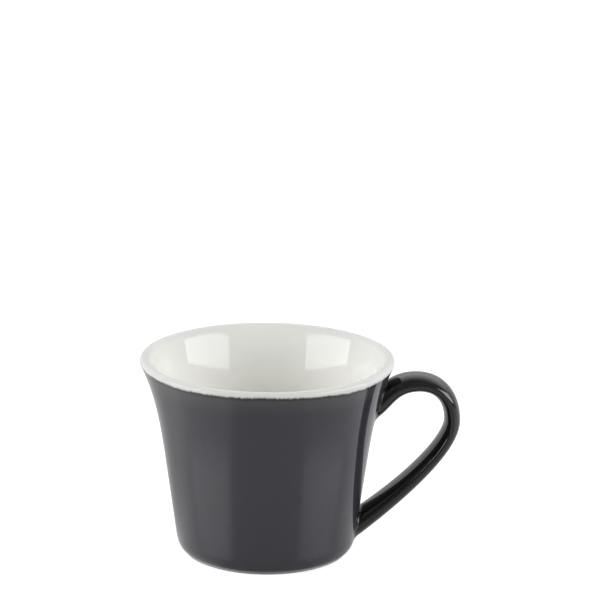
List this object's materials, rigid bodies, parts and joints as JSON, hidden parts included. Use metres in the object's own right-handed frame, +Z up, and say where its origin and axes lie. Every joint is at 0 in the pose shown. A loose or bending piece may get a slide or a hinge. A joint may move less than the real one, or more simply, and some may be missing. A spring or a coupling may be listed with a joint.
{
  "type": "espresso cup",
  "caption": "Small flared ceramic cup with a looped side handle and a low foot ring, glazed white inside and dark grey outside, for holding and drinking espresso.",
  "frame": {"origin": "on the surface the cup stands on, under the middle of the whole cup's bounding box, so the bowl's axis stands at x = -9.2 mm", "axes": "+X from the bowl's axis out along the handle, +Z up from the foot ring to the rim, +Y completes a right-handed frame"},
  "size_m": [0.0884, 0.07, 0.0555],
  "materials": {
    "clay": "matte",
    "slip": "matte",
    "white_glaze": "gloss",
    "grey_glaze": "gloss"
  },
  "bodies": {
    "root": {"cup_body": "clay", "handle": "clay", "upper_slip_joint": "slip", "lower_slip_joint": "slip", "liner_glaze": "white_glaze", "wall_glaze": "grey_glaze", "base_glaze": "grey_glaze", "handle_glaze": "grey_glaze"}
  },
  "joints": []
}
